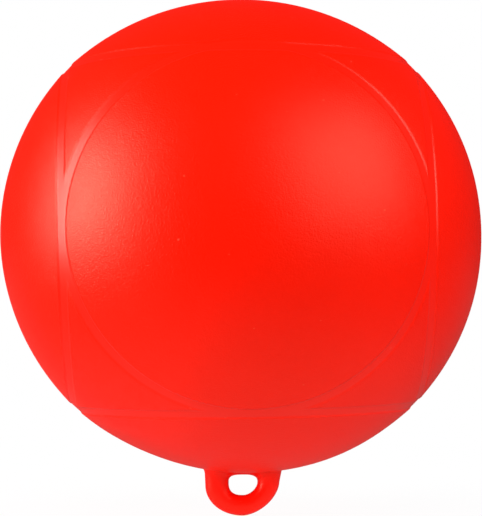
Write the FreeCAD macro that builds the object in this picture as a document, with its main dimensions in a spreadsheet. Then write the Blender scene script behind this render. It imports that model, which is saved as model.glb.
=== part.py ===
"""Waterski buoy: a hollow vinyl ball with six recessed round bands, a solid
mooring eye at its foot and a screw-plug inflation valve at its top.

Millimetres, +Z up. The origin is the centre of the ball, which lies in the
water surface when the buoy is moored. -Y is the front.
"""
import FreeCAD, Part
import math
import os

import Sketcher

V = FreeCAD.Vector

doc = FreeCAD.newDocument("waterski_buoy")

# ---------------------------------------------------------------- sizes
SIZES = [
    # ball
    ("ball_diameter", 228.6),      # across the equator
    ("pole_flat", 2.3),            # how much lower each pole is than a true ball's
    ("wall", 2.2),                 # vinyl skin
    # recessed bands, one circle round each end of the three axes
    ("band_width", 5.0),
    ("band_depth", 0.4),
    # mooring eye
    ("eye_width", 35.3),
    ("eye_thickness", 11.0),
    ("eye_edge_radius", 4.4),
    ("eye_hole_width", 14.0),
    ("eye_hole_side", 0.8),        # straight sides, between the round and the corners
    ("eye_hole_corner", 2.0),
    ("eye_bar", 9.6),              # thickness of the ring under the hole
    ("eye_web", 2.0),              # from the ball to the flat top of the hole
    ("root_length", 26.0),         # the eye's root, moulded through the foot pad
    ("root_width", 8.0),
    ("pad_radius", 22.0),          # foot pad: the thick part of the skin at the eye
    ("pad_thickness", 5.0),
    # inflation valve
    ("boss_radius", 13.0),         # thick part of the skin that holds the valve
    ("boss_depth", 15.0),          # from the top of the ball to the boss's end
    ("recess_radius", 12.5),
    ("recess_depth", 1.9),
    ("flange_gap", 0.5),           # round the valve's flange, in its recess
    ("flange_thickness", 1.2),
    ("barrel_radius", 8.0),
    ("head_well_radius", 7.2),
    ("head_well_depth", 3.2),
    ("thread_radius", 5.1),        # hole in the valve body
    ("thread_gap", 0.1),           # between the hole and what turns in it
    ("seal_radius", 6.4),
    ("seal_thickness", 1.0),
    ("head_radius", 6.8),
    ("head_thickness", 2.0),
    ("shank_length", 9.0),
    ("slot_width", 1.4),
    ("slot_depth", 1.1),
    ("plug_edge", 0.4),            # small chamfer round the plug's head
]

sheet = doc.addObject("Spreadsheet::Sheet", "Sizes")
for row, (alias, value) in enumerate(SIZES, start=1):
    sheet.set("A%d" % row, alias)
    sheet.set("B%d" % row, str(value))
    sheet.setAlias("B%d" % row, alias)
doc.recompute()
size = {alias: float(sheet.get(alias)) for alias, _ in SIZES}

# Values worked out from the sizes, each as the text of an expression. The
# bands are circles of 45 degrees about their axes, so that each touches its
# four neighbours. The caps of the ball, inside the top and bottom bands, are
# flatter than the rest: each is part of a larger sphere through its band and
# its lower pole.
BALL_R = "(Sizes.ball_diameter / 2)"
POLE = "(%s - Sizes.pole_flat)" % BALL_R
CAP_RIM = "(%s * sin(45))" % BALL_R
CAP_RISE = "(%s - %s)" % (POLE, CAP_RIM)
CAP_R = "((%s ^ 2 + %s ^ 2) / (2 * %s))" % (CAP_RIM, CAP_RISE, CAP_RISE)
CAP_SHIFT = "(%s - %s)" % (CAP_R, POLE)
EYE_HOLE_RISE = "(Sizes.eye_hole_width / 2 + Sizes.eye_hole_side + Sizes.eye_hole_corner)"
PANEL_RADIUS = "(%s * sin(45 - Sizes.band_width / %s * 90 / pi))" % (BALL_R, BALL_R)
PANEL_ROOT = "((%s - Sizes.band_depth) * cos(45))" % BALL_R
ISLAND_REACH = "(%s * cos(45 + Sizes.band_width / %s * 90 / pi))" % (BALL_R, BALL_R)

ball_r = size["ball_diameter"] / 2
pole = ball_r - size["pole_flat"]
cap_rim = ball_r * math.sin(math.pi / 4)
cap_rise = pole - cap_rim
cap_r = (cap_rim ** 2 + cap_rise ** 2) / (2 * cap_rise)
cap_shift = cap_r - pole
eye_hole_rise = size["eye_hole_width"] / 2 + size["eye_hole_side"] + size["eye_hole_corner"]
recess_floor = pole - size["recess_depth"]


# ---------------------------------------------------------------- helpers
def new_body(name):
    body = doc.addObject("PartDesign::Body", name)
    body.Label = name
    return body


def new_sketch(body, name, role, lift=None):
    """A sketch on one of the body's own planes, raised by an expression."""
    sketch = body.newObject("Sketcher::SketchObject", name)
    plane = [f for f in body.Origin.OriginFeatures if f.Role == role][0]
    sketch.AttachmentSupport = [(plane, "")]
    sketch.MapMode = "FlatFace"
    if lift:
        sketch.setExpression("AttachmentOffset.Base.z", lift)
    return sketch


class Outline:
    """Draws a closed outline in a sketch and binds its sizes to the sheet."""

    def __init__(self, sketch):
        self.sketch = sketch

    def line(self, start, end):
        return self.sketch.addGeometry(Part.LineSegment(V(*start, 0), V(*end, 0)), False)

    def arc(self, centre, start, end):
        """Anticlockwise from start to end."""
        radius = math.dist(centre, start)
        angles = [math.atan2(p[1] - centre[1], p[0] - centre[0]) for p in (start, end)]
        circle = Part.Circle(V(*centre, 0), V(0, 0, 1), radius)
        return self.sketch.addGeometry(Part.ArcOfCircle(circle, *angles), False)

    def fix(self, *terms):
        return self.sketch.addConstraint(Sketcher.Constraint(*terms))

    def join(self, *ends):
        """Each pair (edge, end, edge, end) meets; end 1 is a start, 2 an end."""
        for pair in ends:
            self.fix("Coincident", *pair)

    def bind(self, text, kind, *terms):
        """A size with its present value, then bound to an expression."""
        index = self.fix(kind, *terms)
        self.sketch.renameConstraint(index, "c%d" % index)
        self.sketch.setExpression("Constraints.c%d" % index, text)


def revolve(body, kind, name, sketch, axis):
    feature = body.newObject("PartDesign::" + kind, name)
    feature.Profile = sketch
    feature.ReferenceAxis = (sketch, [axis])
    feature.Angle = 360
    return feature


def lathe_outline(sketch, corners):
    """Straight-sided half section: corners are (radius, radius text, z, z text)."""
    draw = Outline(sketch)
    points = [(c[0], c[2]) for c in corners]
    edges = [draw.line(p, points[(i + 1) % len(points)]) for i, p in enumerate(points)]
    for i, edge in enumerate(edges):
        draw.join((edge, 2, edges[(i + 1) % len(edges)], 1))
    for edge, (radius, radius_text, z, z_text) in zip(edges, corners):
        if radius_text is None:
            draw.fix("PointOnObject", edge, 1, -2)
        else:
            draw.bind(radius_text, "DistanceX", -1, 1, edge, 1, radius)
        draw.bind(z_text, "DistanceY", -1, 1, edge, 1, z)


# ---------------------------------------------------------------- ball skin
def sphere(name, radius, z="0"):
    ball = doc.addObject("Part::Sphere", name)
    ball.setExpression("Radius", radius)
    ball.setExpression("Placement.Base.z", z)
    return ball


def cylinder(name, radius, start, length, axis="z", sign=1):
    """A cylinder that starts at a distance from the centre, along an axis."""
    along = {"x": V(sign, 0, 0), "y": V(0, sign, 0), "z": V(0, 0, sign)}[axis]
    rod = doc.addObject("Part::Cylinder", name)
    rod.Placement = FreeCAD.Placement(V(), FreeCAD.Rotation(V(0, 0, 1), along))
    rod.setExpression("Radius", radius)
    rod.setExpression("Height", length)
    rod.setExpression("Placement.Base." + axis, "%d * (%s)" % (sign, start))
    return rod


def common(name, *shapes):
    result = doc.addObject("Part::MultiCommon", name)
    result.Shapes = shapes
    return result


def fuse(name, *shapes):
    result = doc.addObject("Part::MultiFuse", name)
    result.Shapes = shapes
    result.Refine = False
    return result


def cut(name, base, tool):
    result = doc.addObject("Part::Cut", name)
    result.Base = base
    result.Tool = tool
    return result


def flattened_ball(name, inset):
    """The ball with its two flatter caps, everywhere a depth below the surface."""
    cap_radius = "%s - %s" % (CAP_R, inset)
    return common(name,
                  sphere(name + "_side", "%s - %s" % (BALL_R, inset)),
                  sphere(name + "_top", cap_radius, "-" + CAP_SHIFT),
                  sphere(name + "_foot", cap_radius, CAP_SHIFT))


def make_skin():
    """The rotationally moulded vinyl skin.

    The floor of the bands is one ball. Standing on it are six round panels
    and, between them, eight three-cornered islands. Inside are a thick foot
    for the eye and a boss for the valve.
    """
    raised = [flattened_ball("band_floor", "Sizes.band_depth")]
    surfaces = {"x": sphere("ball_side", BALL_R), "y": sphere("ball_face", BALL_R)}
    caps = {1: sphere("ball_top", CAP_R, "-" + CAP_SHIFT), -1: sphere("ball_foot", CAP_R, CAP_SHIFT)}
    for axis in "xyz":
        for sign, end in ((1, "plus"), (-1, "minus")):
            name = "panel_%s_%s" % (end, axis)
            disc = cylinder(name + "_edge", PANEL_RADIUS, PANEL_ROOT, BALL_R, axis, sign)
            surface = caps[sign] if axis == "z" else surfaces[axis]
            raised.append(common(name, surface, disc))

    cube = doc.addObject("Part::Box", "island_sides")
    for side, axis in (("Length", "x"), ("Width", "y"), ("Height", "z")):
        cube.setExpression(side, "2 * " + ISLAND_REACH)
        cube.setExpression("Placement.Base." + axis, "-" + ISLAND_REACH)
    raised.append(common("corner_islands", sphere("ball_corners", BALL_R), cube))
    outside = fuse("outside", *raised)

    boss = cylinder("valve_boss", "Sizes.boss_radius", POLE + " - Sizes.boss_depth", BALL_R)
    pad = cylinder("foot_pad", "Sizes.pad_radius", POLE + " - Sizes.pad_thickness", BALL_R, sign=-1)
    air = cut("air_space", flattened_ball("inside", "Sizes.wall"), fuse("thick_places", boss, pad))
    hollow = cut("hollow_ball", outside, air)

    recess = cylinder("valve_recess", "Sizes.recess_radius", POLE + " - Sizes.recess_depth", BALL_R)
    bore = cylinder("valve_bore", "Sizes.barrel_radius", BALL_R + " / 2", BALL_R)
    sketch = doc.addObject("Sketcher::SketchObject", "root_hole_section")
    draw_root(sketch)
    slot = doc.addObject("Part::Extrusion", "root_hole")
    slot.Base = sketch
    slot.DirMode = "Custom"
    slot.Dir = V(0, 0, -1)
    slot.Solid = True
    slot.setExpression("LengthFwd", "Sizes.ball_diameter")
    skin = cut("float_shell", hollow, fuse("holes", recess, bore, slot))
    skin.Label = "float_shell"
    return skin


def cap_z(x, radius):
    """Height of the top cap at a distance from the axis."""
    return math.sqrt(radius ** 2 - x ** 2) - cap_shift


def draw_root(sketch):
    """The rounded slot that the eye's root fills."""
    draw = Outline(sketch)
    radius = size["root_width"] / 2
    reach = size["root_length"] / 2 - radius
    front = draw.line((-reach, -radius), (reach, -radius))
    right = draw.arc((reach, 0), (reach, -radius), (reach, radius))
    back = draw.line((reach, radius), (-reach, radius))
    left = draw.arc((-reach, 0), (-reach, radius), (-reach, -radius))
    draw.fix("Tangent", front, 2, right, 1)
    draw.fix("Tangent", right, 2, back, 1)
    draw.fix("Tangent", back, 2, left, 1)
    draw.fix("Tangent", left, 2, front, 1)
    draw.fix("PointOnObject", right, 3, -1)
    draw.fix("Symmetric", right, 3, left, 3, -1, 1)
    draw.bind("Sizes.root_width / 2", "Radius", right, radius)
    draw.bind("Sizes.root_length / 2 - Sizes.root_width / 2", "DistanceX", -1, 1, right, 3, reach)


# ---------------------------------------------------------------- mooring eye
def make_eye():
    """The solid vinyl eye, rounded all over, with its root in the foot pad."""
    body = new_body("mooring_eye")
    sketch = new_sketch(body, "eye_outline", "XZ_Plane")
    draw = Outline(sketch)
    half = size["eye_width"] / 2
    hole_top = -pole - size["eye_web"]
    hole_bottom = hole_top - eye_hole_rise
    bottom = hole_bottom - size["eye_bar"]
    shoulder = bottom + half
    inside = size["pad_thickness"] - pole
    ring = draw.arc((0, shoulder), (-half, shoulder), (half, shoulder))
    right = draw.line((half, shoulder), (half, inside))
    top = draw.line((half, inside), (-half, inside))
    left = draw.line((-half, inside), (-half, shoulder))
    draw.join((right, 2, top, 1), (top, 2, left, 1))
    draw.fix("Tangent", ring, 2, right, 1)
    draw.fix("Tangent", left, 2, ring, 1)
    draw.fix("Vertical", right)
    draw.fix("Horizontal", top)
    draw.fix("PointOnObject", ring, 3, -2)
    draw.bind("Sizes.eye_width / 2", "Radius", ring, half)
    total = "(%s + Sizes.eye_web + %s + Sizes.eye_bar - Sizes.eye_width / 2)" % (POLE, EYE_HOLE_RISE)
    draw.bind(total, "DistanceY", ring, 3, -1, 1, -shoulder)
    draw.bind(POLE + " - Sizes.pad_thickness", "DistanceY", top, 1, -1, 1, -inside)

    hole_half = size["eye_hole_width"] / 2
    corner = size["eye_hole_corner"]
    round_centre = hole_bottom + hole_half
    low = draw.arc((0, round_centre), (-hole_half, round_centre), (hole_half, round_centre))
    east = draw.line((hole_half, round_centre), (hole_half, hole_top - corner))
    east_corner = draw.arc((hole_half - corner, hole_top - corner),
                           (hole_half, hole_top - corner), (hole_half - corner, hole_top))
    roof = draw.line((hole_half - corner, hole_top), (corner - hole_half, hole_top))
    west_corner = draw.arc((corner - hole_half, hole_top - corner),
                           (corner - hole_half, hole_top), (-hole_half, hole_top - corner))
    west = draw.line((-hole_half, hole_top - corner), (-hole_half, round_centre))
    loop = (low, east, east_corner, roof, west_corner, west)
    for edge, following in zip(loop, loop[1:] + loop[:1]):
        draw.fix("Tangent", edge, 2, following, 1)
    draw.fix("Horizontal", roof)
    draw.fix("PointOnObject", low, 3, -2)
    draw.fix("Equal", east_corner, west_corner)
    draw.bind("Sizes.eye_hole_width / 2", "Radius", low, hole_half)
    draw.bind("Sizes.eye_hole_corner", "Radius", east_corner, corner)
    draw.bind(POLE + " + Sizes.eye_web", "DistanceY", roof, 1, -1, 1, -hole_top)
    centre_text = "(%s + Sizes.eye_web + %s - Sizes.eye_hole_width / 2)" % (POLE, EYE_HOLE_RISE)
    draw.bind(centre_text, "DistanceY", low, 3, -1, 1, -round_centre)

    plate = body.newObject("PartDesign::Pad", "eye_plate")
    plate.Profile = sketch
    plate.setExpression("Length", "Sizes.eye_thickness")
    plate.Midplane = True
    doc.recompute()

    rounded = body.newObject("PartDesign::Fillet", "eye_rounding")
    face_y = size["eye_thickness"] / 2
    names = []
    for index, edge in enumerate(plate.Shape.Edges, start=1):
        ends = [edge.valueAt(t) for t in (edge.FirstParameter, edge.LastParameter)]
        on_face = all(abs(abs(p.y) - face_y) < 1e-6 and p.y * ends[0].y > 0 for p in ends)
        buried = all(abs(p.z - inside) < 1e-6 for p in ends)
        if on_face and not buried:
            names.append("Edge%d" % index)
    rounded.Base = (plate, names)
    rounded.setExpression("Radius", "Sizes.eye_edge_radius")

    # hollow its upper end to sit on the ball
    seat_sketch = new_sketch(body, "seat_section", "XZ_Plane")
    seat = Outline(seat_sketch)
    reach = size["eye_width"]
    above = inside + size["pad_thickness"]
    surface = (reach, -cap_z(reach, cap_r))
    cap = seat.arc((0, cap_shift), (0, -pole), surface)
    rim = seat.line(surface, (reach, above))
    lid = seat.line((reach, above), (0, above))
    stem = seat.line((0, above), (0, -pole))
    seat.join((cap, 2, rim, 1), (rim, 2, lid, 1), (lid, 2, stem, 1), (stem, 2, cap, 1))
    seat.fix("Vertical", rim)
    seat.fix("Horizontal", lid)
    seat.fix("PointOnObject", cap, 3, -2)
    seat.fix("PointOnObject", stem, 1, -2)
    seat.fix("PointOnObject", stem, 2, -2)
    seat.bind(CAP_R, "Radius", cap, cap_r)
    seat.bind(CAP_SHIFT, "DistanceY", -1, 1, cap, 3, cap_shift)
    seat.bind("Sizes.eye_width", "DistanceX", -1, 1, rim, 1, reach)
    seat.bind(POLE + " - 2 * Sizes.pad_thickness", "DistanceY", lid, 1, -1, 1, -above)
    revolve(body, "Groove", "ball_seat", seat_sketch, "V_Axis")

    sunk = "(Sizes.eye_web / 2)"
    root_sketch = new_sketch(body, "root_section", "XY_Plane", "-%s - %s" % (POLE, sunk))
    draw_root(root_sketch)
    root = body.newObject("PartDesign::Pad", "eye_root")
    root.Profile = root_sketch
    root.setExpression("Length", "Sizes.pad_thickness + " + sunk)
    return body


# ---------------------------------------------------------------- valve
def make_valve_body():
    """A moulded insert with a flange, welded into the boss."""
    body = new_body("valve_body")
    sketch = new_sketch(body, "insert_section", "XZ_Plane")
    top = recess_floor + size["flange_thickness"]
    well = top - size["head_well_depth"]
    end = pole - size["boss_depth"]
    flange_r = size["recess_radius"] - size["flange_gap"]
    floor_text = "(%s - Sizes.recess_depth)" % POLE
    top_text = "(%s + Sizes.flange_thickness)" % floor_text
    well_text = "(%s - Sizes.head_well_depth)" % top_text
    end_text = "(%s - Sizes.boss_depth)" % POLE
    lathe_outline(sketch, [
        (size["thread_radius"], "Sizes.thread_radius", end, end_text),
        (size["barrel_radius"], "Sizes.barrel_radius", end, end_text),
        (size["barrel_radius"], "Sizes.barrel_radius", recess_floor, floor_text),
        (flange_r, "Sizes.recess_radius - Sizes.flange_gap", recess_floor, floor_text),
        (flange_r, "Sizes.recess_radius - Sizes.flange_gap", top, top_text),
        (size["head_well_radius"], "Sizes.head_well_radius", top, top_text),
        (size["head_well_radius"], "Sizes.head_well_radius", well, well_text),
        (size["thread_radius"], "Sizes.thread_radius", well, well_text),
    ])
    revolve(body, "Revolution", "insert", sketch, "V_Axis")
    return body, well, well_text


def make_valve_seal(well, well_text):
    """The flat rubber washer under the plug's head."""
    body = new_body("valve_seal")
    sketch = new_sketch(body, "seal_section", "XZ_Plane")
    top = well + size["seal_thickness"]
    top_text = "(%s + Sizes.seal_thickness)" % well_text
    lathe_outline(sketch, [
        (size["thread_radius"], "Sizes.thread_radius", well, well_text),
        (size["seal_radius"], "Sizes.seal_radius", well, well_text),
        (size["seal_radius"], "Sizes.seal_radius", top, top_text),
        (size["thread_radius"], "Sizes.thread_radius", top, top_text),
    ])
    revolve(body, "Revolution", "seal", sketch, "V_Axis")
    return body, top, top_text


def make_valve_plug(seat, seat_text):
    """The slotted screw plug. Its thread is a plain shank here."""
    body = new_body("valve_plug")
    sketch = new_sketch(body, "plug_section", "XZ_Plane")
    top = seat + size["head_thickness"]
    top_text = "(%s + Sizes.head_thickness)" % seat_text
    edge = size["plug_edge"]
    shank_r = size["thread_radius"] - size["thread_gap"]
    shank_text = "Sizes.thread_radius - Sizes.thread_gap"
    tip = seat - size["seal_thickness"] - size["shank_length"]
    tip_text = "(%s - Sizes.seal_thickness - Sizes.shank_length)" % seat_text
    lathe_outline(sketch, [
        (0, None, tip, tip_text),
        (shank_r, shank_text, tip, tip_text),
        (shank_r, shank_text, seat, seat_text),
        (size["head_radius"], "Sizes.head_radius", seat, seat_text),
        (size["head_radius"], "Sizes.head_radius", top - edge, top_text + " - Sizes.plug_edge"),
        (size["head_radius"] - edge, "Sizes.head_radius - Sizes.plug_edge", top, top_text),
        (0, None, top, top_text),
    ])
    revolve(body, "Revolution", "plug", sketch, "V_Axis")

    slot_sketch = new_sketch(body, "slot_section", "XZ_Plane")
    slot = Outline(slot_sketch)
    half = size["slot_width"] / 2
    floor = top - size["slot_depth"]
    above = top + size["slot_depth"]
    bottom = slot.line((-half, floor), (half, floor))
    right = slot.line((half, floor), (half, above))
    lid = slot.line((half, above), (-half, above))
    left = slot.line((-half, above), (-half, floor))
    slot.join((bottom, 2, right, 1), (right, 2, lid, 1), (lid, 2, left, 1), (left, 2, bottom, 1))
    slot.fix("Vertical", right)
    slot.fix("Vertical", left)
    slot.fix("Horizontal", lid)
    slot.fix("Symmetric", bottom, 1, bottom, 2, -2)
    slot.bind("Sizes.slot_width", "DistanceX", bottom, 1, bottom, 2, size["slot_width"])
    slot.bind("%s - Sizes.slot_depth" % top_text, "DistanceY", -1, 1, bottom, 2, floor)
    slot.bind("%s + Sizes.slot_depth" % top_text, "DistanceY", -1, 1, lid, 1, above)
    pocket = body.newObject("PartDesign::Pocket", "coin_slot")
    pocket.Profile = slot_sketch
    pocket.Type = 0
    pocket.Midplane = True
    pocket.setExpression("Length", "2 * (Sizes.head_radius + Sizes.slot_width)")  # past the head's rim
    return body


# ---------------------------------------------------------------- build
skin = make_skin()
eye = make_eye()
valve_body, well_z, well_z_text = make_valve_body()
valve_seal, seal_top, seal_top_text = make_valve_seal(well_z, well_z_text)
valve_plug = make_valve_plug(seal_top, seal_top_text)
doc.recompute()

for item in doc.Objects:
    if "Invalid" in item.State or "Error" in item.State:
        raise RuntimeError("%s did not build: %s" % (item.Name, item.State))

os.makedirs("parts", exist_ok=True)
for body in (skin, eye, valve_body, valve_seal, valve_plug):
    shape = body.Shape
    if shape.isNull() or not shape.isValid() or len(shape.Solids) != 1:
        raise RuntimeError("%s is not one good solid" % body.Label)
    shape.exportStep("parts/%s.step" % body.Label)
    box = shape.BoundBox
    print("%-12s %10.2f mm3  x %.2f..%.2f  y %.2f..%.2f  z %.2f..%.2f" % (
        body.Label, shape.Volume, box.XMin, box.XMax, box.YMin, box.YMax, box.ZMin, box.ZMax))
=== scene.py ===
"""A moored waterski buoy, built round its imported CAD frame: the vinyl ball with
its six recessed bands, the solid mooring eye and the screw-plug inflation valve.
Everything is in metres, in the frame's own axes: +Z up, -Y the front.
"""

import math

import bmesh
import bpy
import numpy as np
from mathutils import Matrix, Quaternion, Vector


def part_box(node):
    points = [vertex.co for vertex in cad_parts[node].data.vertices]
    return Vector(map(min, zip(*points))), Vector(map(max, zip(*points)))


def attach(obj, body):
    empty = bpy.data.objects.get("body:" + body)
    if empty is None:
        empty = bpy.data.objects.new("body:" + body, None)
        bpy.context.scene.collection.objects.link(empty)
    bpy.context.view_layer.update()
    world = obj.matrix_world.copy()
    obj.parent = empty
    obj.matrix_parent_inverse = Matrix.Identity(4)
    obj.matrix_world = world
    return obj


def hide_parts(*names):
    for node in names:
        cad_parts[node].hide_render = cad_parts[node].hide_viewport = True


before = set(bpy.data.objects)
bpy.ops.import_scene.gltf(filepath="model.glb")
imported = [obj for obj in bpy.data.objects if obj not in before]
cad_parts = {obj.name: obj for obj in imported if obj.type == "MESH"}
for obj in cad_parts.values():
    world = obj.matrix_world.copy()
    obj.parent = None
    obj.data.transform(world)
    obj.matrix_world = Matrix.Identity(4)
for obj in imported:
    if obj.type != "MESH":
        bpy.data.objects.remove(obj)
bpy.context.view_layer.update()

# ------------------------------------------------------------------ ball
# A hollow ball of soft red vinyl, cast in a heated mould that turns. Six shallow
# round bands are moulded into it, one about each end of its three axes, and each
# touches four others. The bands of the two mould halves don't quite line up.
MM = 0.001
ball_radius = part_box("float_shell")[1].x
top_drop = 2.3 * MM                 # how much lower the top is than a true ball's
foot_drop = 1.5 * MM
lean = 0.013                        # the lower half leans a little to one side
lean_spread = 0.6                   # eased in over this share of the radius
foot_lean = 0.012                   # and its foot leans more
foot_level = 0.87                   # about this share of the radius down
foot_spread = 0.2
cap_angle = math.radians(45)        # the flatter caps end here
band_half = 2.6 * MM
band_depth = 0.36 * MM
inner_run = 1.6 * MM                # width of a band's sloping side against its panel
outer_run = 1.8 * MM                # and of its other side, which is gentler
lip_rise = 0.09 * MM                # a panel's edge stands slightly proud
lip_reach = 1.8 * MM
band_circles = [                    # the axis of each band, and its angle from that axis
    ((0.004, -1.0, 0.0), 45.0),
    ((0.0, 1.0, 0.0), 45.0),
    ((-1.0, 0.0, -0.016), 45.0),
    ((1.0, 0.0, 0.0), 44.4),
    ((0.0, 0.0, 1.0), 46.3),
    ((0.019, 0.0, -1.0), 44.7),
]


def eased_step(distance, run):
    """0 before a step, 1 after it, and eased over its run."""
    share = np.clip(distance / run + 0.5, 0, 1)
    return share * share * (3 - 2 * share)


def moulded_skin(ways):
    """Where the skin lies in some directions, and how deep in a band it is there."""
    ways = ways / np.linalg.norm(ways, axis=1, keepdims=True)
    radius = np.full(len(ways), ball_radius)
    for end, drop in ((1, top_drop), (-1, foot_drop)):
        rim = ball_radius * math.sin(cap_angle)
        rise = ball_radius - drop - rim
        cap_radius = (rim ** 2 + rise ** 2) / (2 * rise)
        shift = cap_radius - (ball_radius - drop)
        level = ways[:, 2] * end
        cap = np.sqrt((shift * level) ** 2 + cap_radius ** 2 - shift ** 2) - shift * level
        radius = np.where(level > math.cos(cap_angle), cap, radius)
    unsunk = np.ones(len(ways))
    lip = np.zeros(len(ways))
    for axis, degrees in band_circles:
        axis = np.array(axis) / np.linalg.norm(axis)
        angle = np.arccos(np.clip(ways @ axis, -1, 1))
        offset = (angle - math.radians(degrees)) * ball_radius
        past_panel = eased_step(offset + band_half, inner_run)
        before_island = eased_step(band_half - offset, outer_run)
        unsunk *= 1 - past_panel * before_island
        inside = np.maximum(-band_half - offset, 0)
        lip += lip_rise * np.exp(-inside / lip_reach) * (offset < 0)
    in_band = 1 - unsunk
    radius = radius + lip * unsunk - band_depth * in_band
    places = ways * radius[:, None]
    down = -ways[:, 2]
    leaning = lean * eased_step(down, lean_spread)
    leaning = leaning + foot_lean * eased_step(down - foot_level, foot_spread)
    places[:, 2] -= leaning * places[:, 0]
    return places, in_band


def skin_normals(ways):
    """Which way the moulded skin faces, from its slope to four near points."""
    near = 0.0006       # how far off the near points lie, as a share of the radius
    ways = ways / np.linalg.norm(ways, axis=1, keepdims=True)
    spare = np.where(np.abs(ways[:, 2:]) < 0.9, [[0.0, 0.0, 1.0]], [[1.0, 0.0, 0.0]])
    side = np.cross(ways, spare)
    side /= np.linalg.norm(side, axis=1, keepdims=True)
    up = np.cross(ways, side)
    run_side = moulded_skin(ways + near * side)[0] - moulded_skin(ways - near * side)[0]
    run_up = moulded_skin(ways + near * up)[0] - moulded_skin(ways - near * up)[0]
    facing = np.cross(run_side, run_up)
    facing /= np.linalg.norm(facing, axis=1, keepdims=True)
    return facing


def ring_of_points(mesh, reach, height, count):
    """A level ring of points about the upright axis."""
    turns = [2 * math.pi * step / count for step in range(count)]
    return [mesh.verts.new((reach * math.cos(turn), reach * math.sin(turn), height)) for turn in turns]


def join_rings(mesh, first, second):
    """Faces all the way round between two rings with as many points each."""
    for i in range(len(first)):
        mesh.faces.new((first[i - 1], first[i], second[i], second[i - 1]))


# A fine ball is cut along every line where a band's profile bends, and its top
# is cut away for a neat round of points about the valve.
ball = bmesh.new()
bmesh.ops.create_icosphere(ball, subdivisions=6, radius=1)
profile_cuts = [-8, -5, -4, -3.4, -3, -2.6, -2.2, -1.8, 0, 1.7, 2.15, 2.6, 3.05, 3.5, 5]     # in mm
for axis, degrees in band_circles:
    axis = Vector(axis).normalized()
    for cut in profile_cuts:
        angle = math.radians(degrees) + cut * MM / ball_radius
        whole_ball = ball.verts[:] + ball.edges[:] + ball.faces[:]
        bmesh.ops.bisect_plane(ball, geom=whole_ball, dist=1e-6,
                               plane_co=axis * math.cos(angle), plane_no=axis)
top_radius = ball_radius - top_drop
round_reach = 24 * MM
opening = math.cos(round_reach / top_radius)
whole_ball = ball.verts[:] + ball.edges[:] + ball.faces[:]
bmesh.ops.bisect_plane(ball, geom=whole_ball, dist=1e-6,
                       plane_co=(0, 0, opening), plane_no=(0, 0, 1), clear_outer=True)
bmesh.ops.triangulate(ball, faces=ball.faces[:])

round_points = 128
# How far the round's rings lie from the valve's axis, in mm.
round_reaches = [23.0, 21.0, 19.0, 17.0, 15.5, 14.3, 13.5, 13.1, 12.85]
last_ring = None
for reach in round_reaches:
    tilt = reach * MM / top_radius
    ring = ring_of_points(ball, math.sin(tilt), math.cos(tilt), round_points)
    if last_ring is None:
        edge_loop = [edge for edge in ball.edges if edge.is_boundary]
        edge_loop += [ball.edges.new((ring[i - 1], ring[i])) for i in range(round_points)]
        bmesh.ops.bridge_loops(ball, edges=edge_loop)
    else:
        join_rings(ball, last_ring, ring)
    last_ring = ring
ball.verts.ensure_lookup_table()
ways = np.array([vert.co[:] for vert in ball.verts])
places, in_band = moulded_skin(ways)
facings = skin_normals(ways)
for vert, place in zip(ball.verts, places):
    vert.co = place

# The recess for the valve: a rounded edge, a wall, a floor and the bore.
recess_radius = 12.5 * MM
recess_edge = 0.35 * MM
recess_corner = 0.2 * MM
recess_middle = 10 * MM             # a ring of points halfway in over its floor
flange_thick = 1.2 * MM
bore_radius = 8.0 * MM
bore_depth = 13 * MM
rim_height = last_ring[0].co.z
floor_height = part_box("valve_body")[1].z - flange_thick
recess_rings = []
for degrees in (22, 45, 68, 90):
    turn = math.radians(degrees)
    reach = recess_radius + recess_edge * (1 - math.sin(turn))
    recess_rings.append((reach, rim_height - recess_edge * (1 - math.cos(turn))))
for degrees in (0, 30, 60, 90):
    turn = math.radians(degrees)
    reach = recess_radius - recess_corner * (1 - math.cos(turn))
    recess_rings.append((reach, floor_height + recess_corner * (1 - math.sin(turn))))
recess_rings.append((recess_middle, floor_height))
recess_rings.append((bore_radius, floor_height))
recess_rings.append((bore_radius, floor_height - bore_depth))
for reach, height in recess_rings:
    ring = ring_of_points(ball, reach, height, round_points)
    join_rings(ball, last_ring, ring)
    last_ring = ring
bmesh.ops.recalc_face_normals(ball, faces=ball.faces[:])

skin_mesh = bpy.data.meshes.new("moulded_ball")
ball.to_mesh(skin_mesh)
ball.free()
skin_mesh.polygons.foreach_set("use_smooth", [True] * len(skin_mesh.polygons))
spare_count = len(skin_mesh.vertices) - len(ways)
own_normals = np.vstack([facings, np.zeros((spare_count, 3))])
skin_mesh.normals_split_custom_set_from_vertices([tuple(facing) for facing in own_normals])
band_share = skin_mesh.attributes.new("band_share", "FLOAT", "POINT")
band_share.data.foreach_set("value", list(in_band) + [0.0] * spare_count)
moulded_ball = bpy.data.objects.new("moulded_ball", skin_mesh)
bpy.context.scene.collection.objects.link(moulded_ball)
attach(moulded_ball, "float")
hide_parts("float_shell")


def new_group(name, takes, gives):
    """An empty node group with named number, colour and result sockets."""
    group = bpy.data.node_groups.new(name, "ShaderNodeTree")
    for label, kind, value in takes:
        socket = group.interface.new_socket(label, in_out="INPUT", socket_type=kind)
        socket.default_value = value
    for label, kind in gives:
        group.interface.new_socket(label, in_out="OUTPUT", socket_type=kind)
    return group, group.nodes.new("NodeGroupInput"), group.nodes.new("NodeGroupOutput")


def calculate(tree, operation, first, second=None):
    """A Math node: each of its terms is a number or another node's socket."""
    node = tree.nodes.new("ShaderNodeMath")
    node.operation = operation
    for socket, term in zip(node.inputs, (first, second)):
        if isinstance(term, (int, float)):
            socket.default_value = term
        elif term is not None:
            tree.links.new(term, socket)
    return node.outputs[0]


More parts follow.
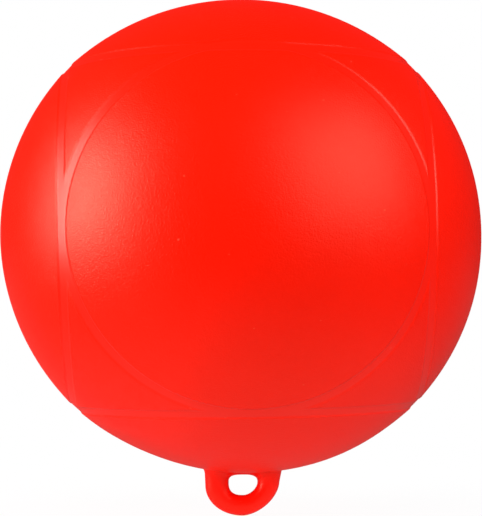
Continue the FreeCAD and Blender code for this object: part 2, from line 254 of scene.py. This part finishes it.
# Moulded plastic: a fine grain from the mould's wall, and soft patches where
# the skin is a little darker, thinner or duller.
moulded_finish, taken, given = new_group(
    "moulded_finish",
    [("Colour", "NodeSocketColor", (1, 1, 1, 1)), ("Shade Change", "NodeSocketFloat", 0.05),
     ("Roughness", "NodeSocketFloat", 0.5), ("Roughness Change", "NodeSocketFloat", 0.05),
     ("Grain Dulling", "NodeSocketFloat", 0.3),
     ("Grains per Metre", "NodeSocketFloat", 800.0), ("Patches per Metre", "NodeSocketFloat", 25.0)],
    [("Colour", "NodeSocketColor"), ("Roughness", "NodeSocketFloat"), ("Height", "NodeSocketFloat")])
place = moulded_finish.nodes.new("ShaderNodeTexCoord")
patches = moulded_finish.nodes.new("ShaderNodeTexNoise")
patches.inputs["Detail"].default_value = 3.0
patches.inputs["Roughness"].default_value = 0.55
moulded_finish.links.new(place.outputs["Object"], patches.inputs["Vector"])
moulded_finish.links.new(taken.outputs["Patches per Metre"], patches.inputs["Scale"])
patch_swing = calculate(moulded_finish, "SUBTRACT", patches.outputs["Fac"], 0.5)
shade = calculate(moulded_finish, "MULTIPLY", patch_swing, taken.outputs["Shade Change"])
brightness = calculate(moulded_finish, "ADD", shade, 1.0)
shaded = moulded_finish.nodes.new("ShaderNodeVectorMath")
shaded.operation = "SCALE"
moulded_finish.links.new(taken.outputs["Colour"], shaded.inputs[0])
moulded_finish.links.new(brightness, shaded.inputs["Scale"])
moulded_finish.links.new(shaded.outputs[0], given.inputs["Colour"])
duller = calculate(moulded_finish, "MULTIPLY", patch_swing, taken.outputs["Roughness Change"])
patchy = calculate(moulded_finish, "ADD", taken.outputs["Roughness"], duller)
grain = moulded_finish.nodes.new("ShaderNodeTexNoise")
grain.inputs["Detail"].default_value = 2.0
grain.inputs["Roughness"].default_value = 0.6
moulded_finish.links.new(place.outputs["Object"], grain.inputs["Vector"])
moulded_finish.links.new(taken.outputs["Grains per Metre"], grain.inputs["Scale"])
moulded_finish.links.new(grain.outputs["Fac"], given.inputs["Height"])
grain_swing = calculate(moulded_finish, "SUBTRACT", grain.outputs["Fac"], 0.5)
dulling = calculate(moulded_finish, "MULTIPLY", grain_swing, taken.outputs["Grain Dulling"])
moulded_finish.links.new(calculate(moulded_finish, "ADD", patchy, dulling), given.inputs["Roughness"])

# Small marks: sparse irregular flecks, where the skin was nicked or rubbed pale.
small_marks, taken, given = new_group(
    "small_marks",
    [("Marks per Metre", "NodeSocketFloat", 90.0), ("Mark Size", "NodeSocketFloat", 0.04)],
    [("Share", "NodeSocketFloat")])
place = small_marks.nodes.new("ShaderNodeTexCoord")
spread = small_marks.nodes.new("ShaderNodeVectorMath")
spread.operation = "SCALE"
small_marks.links.new(place.outputs["Object"], spread.inputs[0])
small_marks.links.new(taken.outputs["Marks per Metre"], spread.inputs["Scale"])
ragged = small_marks.nodes.new("ShaderNodeTexNoise")
ragged.inputs["Scale"].default_value = 14.0
ragged.inputs["Detail"].default_value = 2.0
small_marks.links.new(spread.outputs[0], ragged.inputs["Vector"])
nudged = small_marks.nodes.new("ShaderNodeVectorMath")
nudged.operation = "MULTIPLY_ADD"
nudged.inputs[1].default_value = (0.14, 0.14, 0.14)
small_marks.links.new(ragged.outputs["Color"], nudged.inputs[0])
small_marks.links.new(spread.outputs[0], nudged.inputs[2])
scattered = small_marks.nodes.new("ShaderNodeTexVoronoi")
scattered.inputs["Scale"].default_value = 1.0
small_marks.links.new(nudged.outputs[0], scattered.inputs["Vector"])
inside = calculate(small_marks, "SUBTRACT", taken.outputs["Mark Size"], scattered.outputs["Distance"])
sharpened = calculate(small_marks, "MULTIPLY", inside, 50.0)
limited = calculate(small_marks, "MINIMUM", calculate(small_marks, "MAXIMUM", sharpened, 0.0), 1.0)
small_marks.links.new(limited, given.inputs["Share"])


def add_group(tree, group, **values):
    """Places a node group in a material, with that material's own values."""
    node = tree.nodes.new("ShaderNodeGroup")
    node.node_tree = group
    for label, value in values.items():
        node.inputs[label.replace("_", " ")].default_value = value
    return node


def marked_colour(tree, colour, marks, strength, marked):
    """The surface colour, with the marks mixed in at some strength."""
    mix = tree.nodes.new("ShaderNodeMix")
    mix.data_type = "RGBA"
    tree.links.new(calculate(tree, "MULTIPLY", marks.outputs["Share"], strength), mix.inputs["Factor"])
    tree.links.new(colour, mix.inputs["A"])
    mix.inputs["B"].default_value = marked
    return mix.outputs["Result"]


def new_material(name, specular):
    """A material with a plain shader of some specular level, its nodes and that shader."""
    material = bpy.data.materials.new(name)
    material.use_nodes = True
    shader = material.node_tree.nodes["Principled BSDF"]
    shader.inputs["Specular IOR Level"].default_value = specular
    return material, material.node_tree, shader


def add_relief(tree, shader, height, depth):
    """Raises and sinks a material's surface by a height, up to this depth."""
    relief = tree.nodes.new("ShaderNodeBump")
    relief.inputs["Distance"].default_value = depth
    tree.links.new(height, relief.inputs["Height"])
    tree.links.new(relief.outputs["Normal"], shader.inputs["Normal"])


vinyl_tint = (1, 1, 0.66, 1)
rubbed_vinyl = (0.95, 0.09, 0.05, 1)
ball_vinyl, tree, shader = new_material("ball_vinyl", specular=0.21)
shader.inputs["Specular Tint"].default_value = vinyl_tint
shader.inputs["Coat Roughness"].default_value = 0.28
finish = add_group(tree, moulded_finish, Colour=(0.95, 0.007, 0.0005, 1), Shade_Change=0.1,
                   Roughness=0.35, Roughness_Change=0.1, Grain_Dulling=0.25,
                   Grains_per_Metre=1250.0, Patches_per_Metre=22.0)
marks = add_group(tree, small_marks, Marks_per_Metre=90.0, Mark_Size=0.045)
colour = marked_colour(tree, finish.outputs["Colour"], marks, strength=0.5, marked=rubbed_vinyl)
tree.links.new(colour, shader.inputs["Base Color"])
tree.links.new(finish.outputs["Roughness"], shader.inputs["Roughness"])
banded = tree.nodes.new("ShaderNodeAttribute")
banded.attribute_name = "band_share"
shine = calculate(tree, "MULTIPLY", banded.outputs["Fac"], 0.25)     # a band's floor is shinier
tree.links.new(shine, shader.inputs["Coat Weight"])
smoothed = calculate(tree, "MULTIPLY", banded.outputs["Fac"], 0.8)   # and smoother
grainy_share = calculate(tree, "SUBTRACT", 1.0, smoothed)
grain_swing = calculate(tree, "SUBTRACT", finish.outputs["Height"], 0.5)
grain = calculate(tree, "MULTIPLY", grain_swing, grainy_share)
add_relief(tree, shader, grain, depth=0.18 * MM)
skin_mesh.materials.append(ball_vinyl)

# ------------------------------------------------------------------ mooring eye
# A solid eye of the same vinyl, cast into the foot of the ball. Its ring is
# round in section, its hole is flat above and a little lopsided, and it flares
# where it leaves the ball, more on its right.
eye_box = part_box("mooring_eye")
eye_foot = eye_box[0].z
eye_half_thick = eye_box[1].y
eye_centre = -0.3 * MM
eye_half_width = 17.65 * MM
hole_half_width = 6.85 * MM
hole_centre = 0.05 * MM
hole_level = eye_foot + 15.8 * MM       # where the hole is widest
hole_up = 3.65 * MM
hole_down = 6.15 * MM
ring_level_left = eye_foot + 14.3 * MM
ring_level_right = eye_foot + 15.8 * MM
flare_left = 1.3 * MM
flare_right = 3.3 * MM
flare_reach = 1.6 * MM
eye_top = eye_foot + 27 * MM            # buried in the ball's foot
thick_reach = 2 * MM                    # the flare fades out in the middle of the thickness
# How square each outline is: 2 is an ellipse, and more is squarer.
hole_squareness = {"upper left": 3.1, "upper right": 2.7, "lower left": 2.6, "lower right": 1.8}
foot_squareness = {"left": 2.0, "right": 1.72}
root_squareness = 9
section_squareness = 2.35


def rounded_corner(turn, half_width, half_height, squareness):
    """A point on a rounded outline, from its middle."""
    across = math.copysign(abs(math.cos(turn)) ** (2 / squareness), math.cos(turn))
    upward = math.copysign(abs(math.sin(turn)) ** (2 / squareness), math.sin(turn))
    return half_width * across, half_height * upward


def hole_point(turn):
    """The hole's edge: its four quarters differ in how square they are."""
    level, half_height = ("upper", hole_up) if math.sin(turn) >= 0 else ("lower", hole_down)
    side = "left" if math.cos(turn) < 0 else "right"
    squareness = hole_squareness[level + " " + side]
    across, upward = rounded_corner(turn, hole_half_width, half_height, squareness)
    return hole_centre + across, hole_level + upward


def ring_point(turn):
    """The ring's outer edge: straight sides down from the ball, then a rounded foot."""
    side, level = ("left", ring_level_left) if math.cos(turn) < 0 else ("right", ring_level_right)
    if math.sin(turn) >= 0:
        across, upward = rounded_corner(turn, eye_half_width, eye_top - level, root_squareness)
    else:
        squareness = foot_squareness[side]
        across, upward = rounded_corner(turn, eye_half_width, level - eye_foot, squareness)
    return eye_centre + across, level + upward


eye = bmesh.new()
turns_round, turns_across = 192, 56
eye_rows = []
for step in range(turns_round):
    turn = 2 * math.pi * step / turns_round
    hole_x, hole_z = hole_point(turn)
    ring_x, ring_z = ring_point(turn)
    row = []
    for across_step in range(turns_across):
        across_turn = 2 * math.pi * across_step / turns_across
        share, thick = rounded_corner(across_turn, 0.5, eye_half_thick, section_squareness)
        x = hole_x + (ring_x - hole_x) * (0.5 + share)
        z = hole_z + (ring_z - hole_z) * (0.5 + share)
        ball_foot = -math.sqrt(max(0.0, top_radius ** 2 - x * x - thick * thick))
        flare = math.exp(-max(0.0, ball_foot - z) / flare_reach)
        outward = max(0.0, share) * 2
        x += (flare_right if x > 0 else -flare_left) * flare * outward
        thick += math.copysign(flare_left, thick) * flare * min(1.0, abs(thick) / thick_reach)
        row.append(eye.verts.new((x, thick, z)))
    eye_rows.append(row)
for i in range(turns_round):
    join_rings(eye, eye_rows[i - 1], eye_rows[i])
bmesh.ops.recalc_face_normals(eye, faces=eye.faces[:])
eye_mesh = bpy.data.meshes.new("moulded_eye")
eye.to_mesh(eye_mesh)
eye.free()
eye_mesh.polygons.foreach_set("use_smooth", [True] * len(eye_mesh.polygons))
moulded_eye = bpy.data.objects.new("moulded_eye", eye_mesh)
bpy.context.scene.collection.objects.link(moulded_eye)
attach(moulded_eye, "float")
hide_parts("mooring_eye")

eye_vinyl, tree, shader = new_material("eye_vinyl", specular=0.2)
shader.inputs["Specular Tint"].default_value = vinyl_tint
# The ball's vinyl made darker and a deeper red: painted shade for the eye's place under the ball.
finish = add_group(tree, moulded_finish, Colour=(0.85, 0.0035, 0.0005, 1), Shade_Change=0.12,
                   Roughness=0.35, Roughness_Change=0.12, Grain_Dulling=0.3,
                   Grains_per_Metre=700.0, Patches_per_Metre=90.0)
marks = add_group(tree, small_marks, Marks_per_Metre=150.0, Mark_Size=0.05)
colour = marked_colour(tree, finish.outputs["Colour"], marks, strength=0.5, marked=rubbed_vinyl)
tree.links.new(colour, shader.inputs["Base Color"])
tree.links.new(finish.outputs["Roughness"], shader.inputs["Roughness"])
add_relief(tree, shader, finish.outputs["Height"], depth=0.04 * MM)
eye_mesh.materials.append(eye_vinyl)

# ------------------------------------------------------------------ valve insert
# A round insert of hard black plastic, moulded and then welded into the recess
# at the top of the ball: a flange, a well for the plug's head, and a barrel with
# a coarse screw thread inside it.
insert_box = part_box("valve_body")
insert_foot = insert_box[0].z
flange_top = insert_box[1].z
flange_radius = insert_box[1].x
flange_under = flange_top - flange_thick
flange_edge = 0.2 * MM
flange_round = 0.35 * MM
# A shallow ring pressed into the flange: radius and depth in mm.
pressed_ring = [(10.6, 0), (10.45, 0.14), (10.15, 0.18), (9.85, 0.14), (9.7, 0)]
barrel_radius = bore_radius
barrel_edge = 0.4 * MM
well_radius = 7.2 * MM
well_floor = flange_top - 3.2 * MM
well_round = 0.25 * MM
well_corner = 0.07 * MM                # how far the middle of its rounded corner stands in
thread_pitch = 1.5 * MM
thread_height = 0.55 * MM               # from the thread's root to its crest
thread_clearance = 0.1 * MM
thread_fade = 0.8 * MM                  # over which the thread starts and ends
insert_bore = 5.1 * MM
bore_edge = 0.2 * MM
bore_foot_edge = 0.3 * MM
turned_points = 120


def thread_wave(height, turn):
    """0 at a thread's root and 1 at its crest, climbing one pitch in each turn."""
    phase = (height / thread_pitch - turn / (2 * math.pi)) % 1.0
    return 1 - abs(2 * phase - 1)


def turned_piece(name, profile, closed):
    """A mesh turned from rows of radius, height and how deep the thread is cut in there."""
    piece = bmesh.new()
    rows = []
    for radius, height, thread in profile:
        row = []
        for step in range(turned_points):
            turn = 2 * math.pi * step / turned_points
            reach = radius - thread * (1 - thread_wave(height, turn))
            row.append(piece.verts.new((reach * math.cos(turn), reach * math.sin(turn), height)))
        rows.append(row)
    if closed:
        rows.append(rows[0])
    for low, high in zip(rows, rows[1:]):
        join_rings(piece, low, high)
    if not closed:
        piece.faces.new(rows[0])
        piece.faces.new(rows[-1])
    bmesh.ops.recalc_face_normals(piece, faces=piece.faces[:])
    mesh = bpy.data.meshes.new(name)
    piece.to_mesh(mesh)
    piece.free()
    return mesh


def rounded_edge(radius, height, size, out, up):
    """Four rows round an edge whose sharp corner is at this radius and height."""
    rows = []
    for degrees in (0, 30, 60, 90):
        side = 1 - math.cos(math.radians(degrees))
        rise = 1 - math.sin(math.radians(degrees))
        rows.append((radius - out * size * side, height - up * size * rise, 0.0))
    return rows


profile = [
    (barrel_radius - barrel_edge, insert_foot, 0.0),
    (barrel_radius, insert_foot + barrel_edge, 0.0),
    (barrel_radius, flange_under, 0.0),
    (flange_radius - flange_edge, flange_under, 0.0),
    (flange_radius, flange_under + flange_edge, 0.0),
]
profile += rounded_edge(flange_radius, flange_top, flange_round, 1, 1)
for reach, drop in pressed_ring:
    profile.append((reach * MM, flange_top - drop * MM, 0.0))
profile += rounded_edge(well_radius, flange_top, well_round, -1, 1)[::-1]
profile += [
    (well_radius, well_floor + well_round, 0.0),
    (well_radius - well_corner, well_floor + well_corner, 0.0),
    (well_radius - well_round, well_floor, 0.0),
    (insert_bore + bore_edge, well_floor, 0.0),
]
thread_top = well_floor - bore_edge
thread_run = thread_top - insert_foot - bore_foot_edge
thread_rows = 84
for step in range(thread_rows + 1):
    height = thread_top - thread_run * step / thread_rows
    started = min(1.0, (thread_top - height) / thread_fade, (height - insert_foot) / thread_fade)
    profile.append((insert_bore, height, thread_height * started))
profile.append((insert_bore + bore_foot_edge, insert_foot, 0.0))
insert_mesh = turned_piece("valve_insert", profile, True)
insert_mesh.polygons.foreach_set("use_smooth", [True] * len(insert_mesh.polygons))
insert_mesh.set_sharp_from_angle(angle=math.radians(35))
valve_insert = bpy.data.objects.new("valve_insert", insert_mesh)
bpy.context.scene.collection.objects.link(valve_insert)
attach(valve_insert, "float")
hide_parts("valve_body")

# Turned rings: the fine uneven circles that a turned mould leaves round an axis.
turned_rings, taken, given = new_group(
    "turned_rings",
    [("Rings per Metre", "NodeSocketFloat", 3000.0)],
    [("Height", "NodeSocketFloat")])
place = turned_rings.nodes.new("ShaderNodeTexCoord")
parts = turned_rings.nodes.new("ShaderNodeSeparateXYZ")
turned_rings.links.new(place.outputs["Object"], parts.inputs[0])
across = calculate(turned_rings, "MULTIPLY", parts.outputs["X"], parts.outputs["X"])
along = calculate(turned_rings, "MULTIPLY", parts.outputs["Y"], parts.outputs["Y"])
reach = calculate(turned_rings, "SQRT", calculate(turned_rings, "ADD", across, along))
unrolled = turned_rings.nodes.new("ShaderNodeCombineXYZ")
turned_rings.links.new(reach, unrolled.inputs["X"])
turned_rings.links.new(parts.outputs["Z"], unrolled.inputs["Z"])
circles = turned_rings.nodes.new("ShaderNodeTexNoise")
circles.inputs["Detail"].default_value = 2.0
turned_rings.links.new(unrolled.outputs[0], circles.inputs["Vector"])
turned_rings.links.new(taken.outputs["Rings per Metre"], circles.inputs["Scale"])
turned_rings.links.new(circles.outputs["Fac"], given.inputs["Height"])


def ringed_finish(tree, shader, finish, rings, ring_dulling, depth):
    """Joins a moulded finish and turned rings in a material's roughness and its relief."""
    ring_swing = calculate(tree, "SUBTRACT", rings.outputs["Height"], 0.5)
    duller = calculate(tree, "MULTIPLY", ring_swing, ring_dulling)
    roughness = calculate(tree, "ADD", finish.outputs["Roughness"], duller)
    tree.links.new(roughness, shader.inputs["Roughness"])
    both = calculate(tree, "ADD", finish.outputs["Height"], rings.outputs["Height"])
    add_relief(tree, shader, both, depth)


insert_plastic, tree, shader = new_material("insert_plastic", specular=0.45)
finish = add_group(tree, moulded_finish, Colour=(0.022, 0.022, 0.024, 1), Shade_Change=0.5,
                   Roughness=0.45, Roughness_Change=0.3, Grain_Dulling=0.3,
                   Grains_per_Metre=2600.0, Patches_per_Metre=260.0)
rings = add_group(tree, turned_rings, Rings_per_Metre=3200.0)
marks = add_group(tree, small_marks, Marks_per_Metre=700.0, Mark_Size=0.1)
colour = marked_colour(tree, finish.outputs["Colour"], marks,
                       strength=0.6, marked=(0.16, 0.155, 0.15, 1))
tree.links.new(colour, shader.inputs["Base Color"])
ringed_finish(tree, shader, finish, rings, ring_dulling=0.3, depth=0.03 * MM)
insert_mesh.materials.append(insert_plastic)

# ------------------------------------------------------------------ valve seal
# A flat ring cut from black rubber sheet. It lies on the well's floor and is
# pinched under the plug's head, which carries it up when the plug is unscrewed.
seal_rubber, tree, shader = new_material("seal_rubber", specular=0.35)
finish = add_group(tree, moulded_finish, Colour=(0.03, 0.029, 0.028, 1), Shade_Change=0.5,
                   Roughness=0.72, Roughness_Change=0.2, Grain_Dulling=0.3,
                   Grains_per_Metre=4000.0, Patches_per_Metre=400.0)
marks = add_group(tree, small_marks, Marks_per_Metre=900.0, Mark_Size=0.12)
colour = marked_colour(tree, finish.outputs["Colour"], marks,
                       strength=0.5, marked=(0.14, 0.13, 0.12, 1))
tree.links.new(colour, shader.inputs["Base Color"])
tree.links.new(finish.outputs["Roughness"], shader.inputs["Roughness"])
add_relief(tree, shader, finish.outputs["Height"], depth=0.04 * MM)
seal_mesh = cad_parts["valve_seal"].data
seal_mesh.materials.clear()
seal_mesh.materials.append(seal_rubber)

# ------------------------------------------------------------------ valve plug
# A screw plug of white nylon, injection moulded: a shank with the same coarse
# thread, a plain neck where the seal sits, and a head with a slot for a coin.
plug_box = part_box("valve_plug")
plug_foot = plug_box[0].z
plug_top = plug_box[1].z
head_radius = 6.8 * MM
head_under = plug_top - 1.96 * MM      # just clear of the seal
head_edge = 0.12 * MM
head_round = 0.4 * MM
# The head's top is slightly sunk inside its rim: radius and depth in mm.
sunk_top = [(5.75, 0), (5.6, 0.03), (5.45, 0.05), (3.0, 0.06), (1.0, 0.06)]
neck_radius = 4.9 * MM
crest_radius = insert_bore - thread_clearance
tip_radius = 3.4 * MM
tip_shoulder = 3.9 * MM
tip_rise = 0.15 * MM
thread_foot = plug_foot + 0.5 * MM
thread_lead = 0.9 * MM                  # over which the plug's thread starts
neck_length = 1.3 * MM
neck_foot = head_under - 1.1 * MM
neck_shoulder = head_under - 0.85 * MM
thread_run = head_under - neck_length - thread_foot
thread_rows = 66
profile = [(tip_radius, plug_foot, 0.0), (tip_shoulder, plug_foot + tip_rise, 0.0)]
for step in range(thread_rows + 1):
    height = thread_foot + thread_run * step / thread_rows
    started = min(1.0, (height - thread_foot) / thread_lead)
    profile.append((crest_radius - thread_height * (1 - started), height, thread_height * started))
profile += [
    (crest_radius - thread_height, neck_foot, 0.0),
    (neck_radius, neck_shoulder, 0.0),
    (neck_radius, head_under, 0.0),
    (head_radius - head_edge, head_under, 0.0),
    (head_radius, head_under + head_edge, 0.0),
]
profile += rounded_edge(head_radius, plug_top, head_round, 1, 1)
for reach, drop in sunk_top:
    profile.append((reach * MM, plug_top - drop * MM, 0.0))
plain_plug = bpy.data.objects.new("plain_plug", turned_piece("plain_plug", profile, False))
bpy.context.scene.collection.objects.link(plain_plug)

# The slot's outline, half of it and then its mirror: mm across, and up from the head's top.
slot_outline = [(0.98, 0.3), (0.98, -0.02), (0.8, -0.08), (0.72, -0.2)]
slot_outline += [(0.7, -0.95), (0.62, -1.06), (0.5, -1.1)]
slot_outline += [(-across, up) for across, up in reversed(slot_outline)]
slot_half_length = 9 * MM
slot_cut = bmesh.new()
ends = []
for end in (-1, 1):
    y = end * slot_half_length
    ends.append([slot_cut.verts.new((x * MM, y, plug_top + z * MM)) for x, z in slot_outline])
    slot_cut.faces.new(ends[-1])
join_rings(slot_cut, ends[0], ends[1])
bmesh.ops.recalc_face_normals(slot_cut, faces=slot_cut.faces[:])
slot_mesh = bpy.data.meshes.new("slot_cut")
slot_cut.to_mesh(slot_mesh)
slot_cut.free()
slot_cutter = bpy.data.objects.new("slot_cut", slot_mesh)
bpy.context.scene.collection.objects.link(slot_cutter)
cut = plain_plug.modifiers.new("slot", "BOOLEAN")
cut.operation = "DIFFERENCE"
cut.solver = "EXACT"
cut.object = slot_cutter
bpy.context.view_layer.update()
slotted = plain_plug.evaluated_get(bpy.context.evaluated_depsgraph_get())
plug_mesh = bpy.data.meshes.new_from_object(slotted)
bpy.data.objects.remove(plain_plug)
bpy.data.objects.remove(slot_cutter)
plug_mesh.name = "slotted_plug"
plug_mesh.polygons.foreach_set("use_smooth", [True] * len(plug_mesh.polygons))
plug_mesh.set_sharp_from_angle(angle=math.radians(35))
slotted_plug = bpy.data.objects.new("slotted_plug", plug_mesh)
bpy.context.scene.collection.objects.link(slotted_plug)
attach(slotted_plug, "plug")
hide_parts("valve_plug")

plug_nylon, tree, shader = new_material("plug_nylon", specular=0.4)
finish = add_group(tree, moulded_finish, Colour=(0.76, 0.75, 0.71, 1), Shade_Change=0.22,
                   Roughness=0.42, Roughness_Change=0.25, Grain_Dulling=0.2,
                   Grains_per_Metre=2600.0, Patches_per_Metre=300.0)
rings = add_group(tree, turned_rings, Rings_per_Metre=2600.0)
marks = add_group(tree, small_marks, Marks_per_Metre=600.0, Mark_Size=0.1)
colour = marked_colour(tree, finish.outputs["Colour"], marks,
                       strength=0.5, marked=(0.36, 0.33, 0.28, 1))
tree.links.new(colour, shader.inputs["Base Color"])
ringed_finish(tree, shader, finish, rings, ring_dulling=0.25, depth=0.02 * MM)
plug_mesh.materials.clear()
plug_mesh.materials.append(plug_nylon)

# ------------------------------------------------------------------ floor
# A plain white studio floor, level with the lowest point of the eye. To the
# camera it is as white as the room, less a little of the buoy's shadow. To all
# other rays it only glows: near the buoy it glows as painted bounce light that
# lights the ball's underside but hardly the eye's foot, and to gloss rays the
# whole floor is an even dim glow, a painted reflection.
floor_radius = 4
floor_gap = 0.1 * MM                    # between the floor and the eye
floor_mesh = bpy.data.meshes.new("studio_floor")
sheet = bmesh.new()
bmesh.ops.create_circle(sheet, cap_ends=True, segments=96, radius=floor_radius)
for vert in sheet.verts:
    vert.co.z = eye_foot - floor_gap
sheet.to_mesh(floor_mesh)
sheet.free()
studio_floor = bpy.data.objects.new("studio_floor", floor_mesh)
bpy.context.scene.collection.objects.link(studio_floor)


def graded(tree, distance, near, far, at_near, at_far):
    """A value that runs from one number to another between two distances, in metres."""
    grade = tree.nodes.new("ShaderNodeMapRange")
    grade.inputs["From Min"].default_value = near
    grade.inputs["From Max"].default_value = far
    grade.inputs["To Min"].default_value = at_near
    grade.inputs["To Max"].default_value = at_far
    tree.links.new(distance, grade.inputs["Value"])
    return grade.outputs["Result"]


floor_paint, tree, shader = new_material("floor_paint", specular=0.1)
shader.inputs["Base Color"].default_value = (0.8, 0.8, 0.8, 1)
shader.inputs["Roughness"].default_value = 0.9
glow = tree.nodes.new("ShaderNodeEmission")
path = tree.nodes.new("ShaderNodeLightPath")
blend = tree.nodes.new("ShaderNodeMixShader")
spot = tree.nodes.new("ShaderNodeTexCoord")
away = tree.nodes.new("ShaderNodeVectorMath")
away.operation = "LENGTH"
tree.links.new(spot.outputs["Object"], away.inputs[0])
near_buoy = graded(tree, away.outputs["Value"], near=0.3, far=0.6, at_near=0.95, at_far=1.0)
# Painted bounce light: near the buoy the floor glows for diffuse rays and lights the ball's underside.
bounce_glow_patch = graded(tree, away.outputs["Value"], near=0.14, far=0.38, at_near=1.15, at_far=0.0)
# That painted bounce glow is weaker right under the eye, so it hardly lights the eye's foot.
bounce_gap_under_eye = graded(tree, away.outputs["Value"], near=0.015, far=0.06, at_near=0.1, at_far=1.0)
seen_white = calculate(tree, "MAXIMUM", path.outputs["Is Camera Ray"],
                       path.outputs["Is Transmission Ray"])
unseen = calculate(tree, "SUBTRACT", 1.0, path.outputs["Is Camera Ray"])
not_gloss = calculate(tree, "SUBTRACT", unseen, path.outputs["Is Glossy Ray"])
bounce_glow = calculate(tree, "MULTIPLY", calculate(tree, "MULTIPLY", bounce_glow_patch, bounce_gap_under_eye), not_gloss)
# Painted reflection: gloss rays see the whole floor as an even dim glow.
gloss_glow = calculate(tree, "MULTIPLY", path.outputs["Is Glossy Ray"], 0.15)
shown = calculate(tree, "MAXIMUM", seen_white, gloss_glow)
tree.links.new(calculate(tree, "MAXIMUM", shown, bounce_glow), glow.inputs["Strength"])
tree.links.new(calculate(tree, "MAXIMUM", near_buoy, unseen), blend.inputs["Fac"])
tree.links.new(shader.outputs["BSDF"], blend.inputs[1])
tree.links.new(glow.outputs["Emission"], blend.inputs[2])
tree.links.new(blend.outputs["Shader"], tree.nodes["Material Output"].inputs["Surface"])
floor_mesh.materials.append(floor_paint)

# ------------------------------------------------------------------ studio light
# Three soft boxes make the soft highlights: on the left a small bright one in
# front of a wide weak one, and on the right a weaker one. Five bounce cards
# light the rest and leave no highlight of their own.


def soft_light(name, place, width, height, power, glossy):
    """A rectangular lamp that faces the ball. Only a glossy one shows in its surface."""
    lamp_data = bpy.data.lights.new(name, "AREA")
    lamp_data.shape = "RECTANGLE"
    lamp_data.size = width
    lamp_data.size_y = height
    lamp_data.energy = power
    lamp_data.cycles.use_multiple_importance_sampling = glossy
    lamp = bpy.data.objects.new(name, lamp_data)
    bpy.context.scene.collection.objects.link(lamp)
    lamp.location = place
    lamp.rotation_mode = "QUATERNION"
    lamp.rotation_quaternion = (-Vector(place)).to_track_quat("-Z", "Y")
    lamp.visible_glossy = glossy
    lamp.visible_camera = False


key_way = Vector((-0.949, -0.236, 0.208))
fill_way = Vector((0.694, -0.570, 0.440))
soft_light("key_left", key_way * 1.2, width=0.5, height=0.7, power=9.5, glossy=True)
soft_light("key_wide", key_way * 1.25, width=1.0, height=1.2, power=17.5, glossy=True)
soft_light("fill_right", fill_way * 1.2, width=1.05, height=0.9, power=12.0, glossy=True)
for name, place, power in (("card_front", (-0.1, -1.5, -0.1), 18.5), ("card_back", (0, 1.5, 0.1), 18),
                           ("card_top", (0, 0, 1.6), 18), ("card_right", (1.5, -0.2, 0), 1),
                           ("card_left", (-1.5, 0.3, 0.3), 7)):
    soft_light(name, Vector(place), width=1.6, height=1.6, power=power, glossy=False)

world = bpy.data.worlds.new("white_room")
bpy.context.scene.world = world
world.use_nodes = True
tree = world.node_tree
room = tree.nodes["Background"]
path = tree.nodes.new("ShaderNodeLightPath")
seen_white = calculate(tree, "MAXIMUM", path.outputs["Is Camera Ray"],
                       path.outputs["Is Transmission Ray"])
tree.links.new(calculate(tree, "MAXIMUM", seen_white, 0.04), room.inputs["Strength"])
room.inputs["Color"].default_value = (1, 1, 1, 1)

bpy.context.scene.view_settings.view_transform = "Standard"

# ------------------------------------------------------------------ camera
# It stands in front, a touch to the left and a little below the ball's middle,
# and looks slightly up.
camera = bpy.data.objects.new("camera", bpy.data.cameras.new("camera"))
bpy.context.scene.collection.objects.link(camera)
bpy.context.scene.camera = camera
camera.data.sensor_fit = "VERTICAL"
camera.data.sensor_height = 36
camera.data.sensor_width = 36
camera.data.lens = 125.7
camera.data.clip_start = 0.05
camera.data.clip_end = 50
distance = 0.8633
azimuth = math.radians(-2.05)
elevation = math.radians(-2.63)
roll = math.radians(-0.5)
aim_drop = math.radians(0.706)          # how far below the ball's middle it aims
camera.location = Vector((math.sin(azimuth) * math.cos(elevation),
                          -math.cos(azimuth) * math.cos(elevation),
                          math.sin(elevation))) * distance
aim = Vector((0, 0, -distance * math.tan(aim_drop)))
look = (aim - camera.location).to_track_quat("-Z", "Y")
camera.rotation_mode = "QUATERNION"
camera.rotation_quaternion = look @ Quaternion((0, 0, 1), roll)
